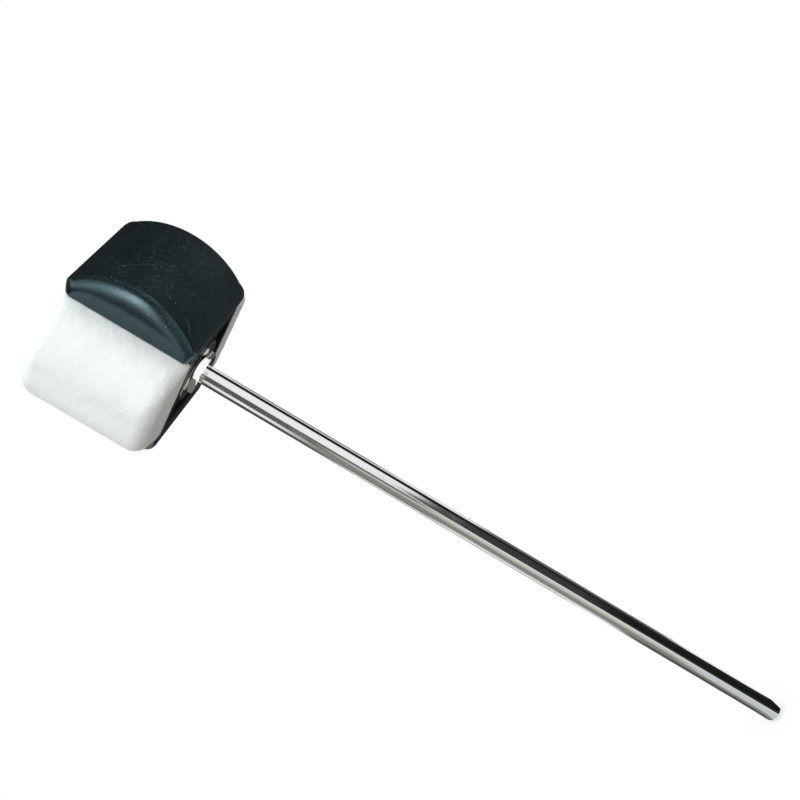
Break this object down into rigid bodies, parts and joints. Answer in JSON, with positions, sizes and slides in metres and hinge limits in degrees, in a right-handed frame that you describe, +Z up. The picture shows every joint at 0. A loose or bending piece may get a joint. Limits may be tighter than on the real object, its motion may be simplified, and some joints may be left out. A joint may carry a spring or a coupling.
{
  "type": "bass drum beater",
  "caption": "Bass drum pedal beater: slim chromed shaft with a block head that turns to bring crowned rubber, flat felt, flat rubber or crowned felt to the drum.",
  "frame": {"origin": "on the shaft's axis at its lower tip", "axes": "+Z up the shaft to the head, +X out of the flat felt face, +Y out of the crowned rubber face"},
  "size_m": [0.0608, 0.0535, 0.2394],
  "materials": {
    "chrome": "bright chrome",
    "steel": "plated steel",
    "sleeve": "turned brass",
    "core": "moulded black plastic",
    "rubber": "hard black rubber",
    "felt": "pressed white felt"
  },
  "bodies": {
    "shaft": {"shaft": "chrome", "lock_nut": "steel", "lower_washer": "steel", "upper_washer": "steel", "spring_washer": "steel", "top_nut": "steel"},
    "head": {"head_core": "core", "core_sleeve": "sleeve", "rubber_crown_pad": "rubber", "rubber_flat_pad": "rubber", "felt_flat_pad": "felt", "felt_crown_pad": "felt"}
  },
  "joints": [
    {"name": "head_turn", "type": "hinge", "parent": "shaft", "child": "head", "pos_m": [0, 0, 0.21], "axis": [0, 0, 1], "continuous": true}
  ]
}
